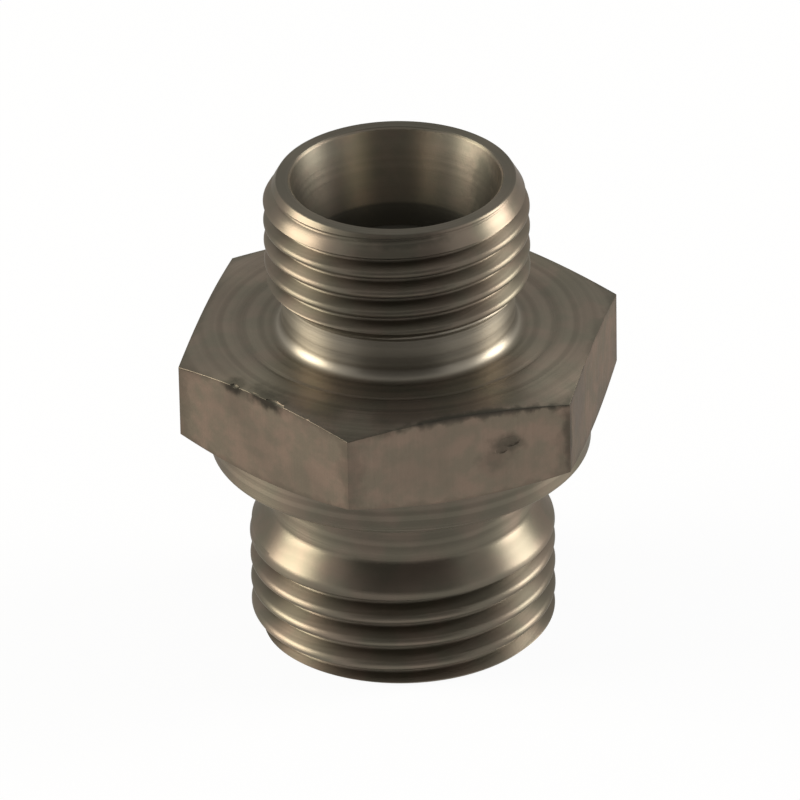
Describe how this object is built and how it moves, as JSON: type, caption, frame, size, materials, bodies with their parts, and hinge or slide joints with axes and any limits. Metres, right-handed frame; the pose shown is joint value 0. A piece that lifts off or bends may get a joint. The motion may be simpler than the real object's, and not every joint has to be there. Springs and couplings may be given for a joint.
{
  "type": "straight male stud fitting",
  "caption": "Straight steel hose and tube fitting: pipe-thread stud with a collar, spanner hexagon, and a threaded tube end with an inner cone.",
  "frame": {"origin": "centre of the stud's end face, which the fitting stands on", "axes": "+Z along the common axis of both threads, from the stud towards the tube end; two of the spanner flats face -Y and +Y"},
  "size_m": [0.0312, 0.027, 0.0338],
  "materials": {
    "bare_steel": "turned steel, semi-gloss, brownish grey"
  },
  "bodies": {
    "root": {"fitting_body": "bare_steel"}
  },
  "joints": []
}
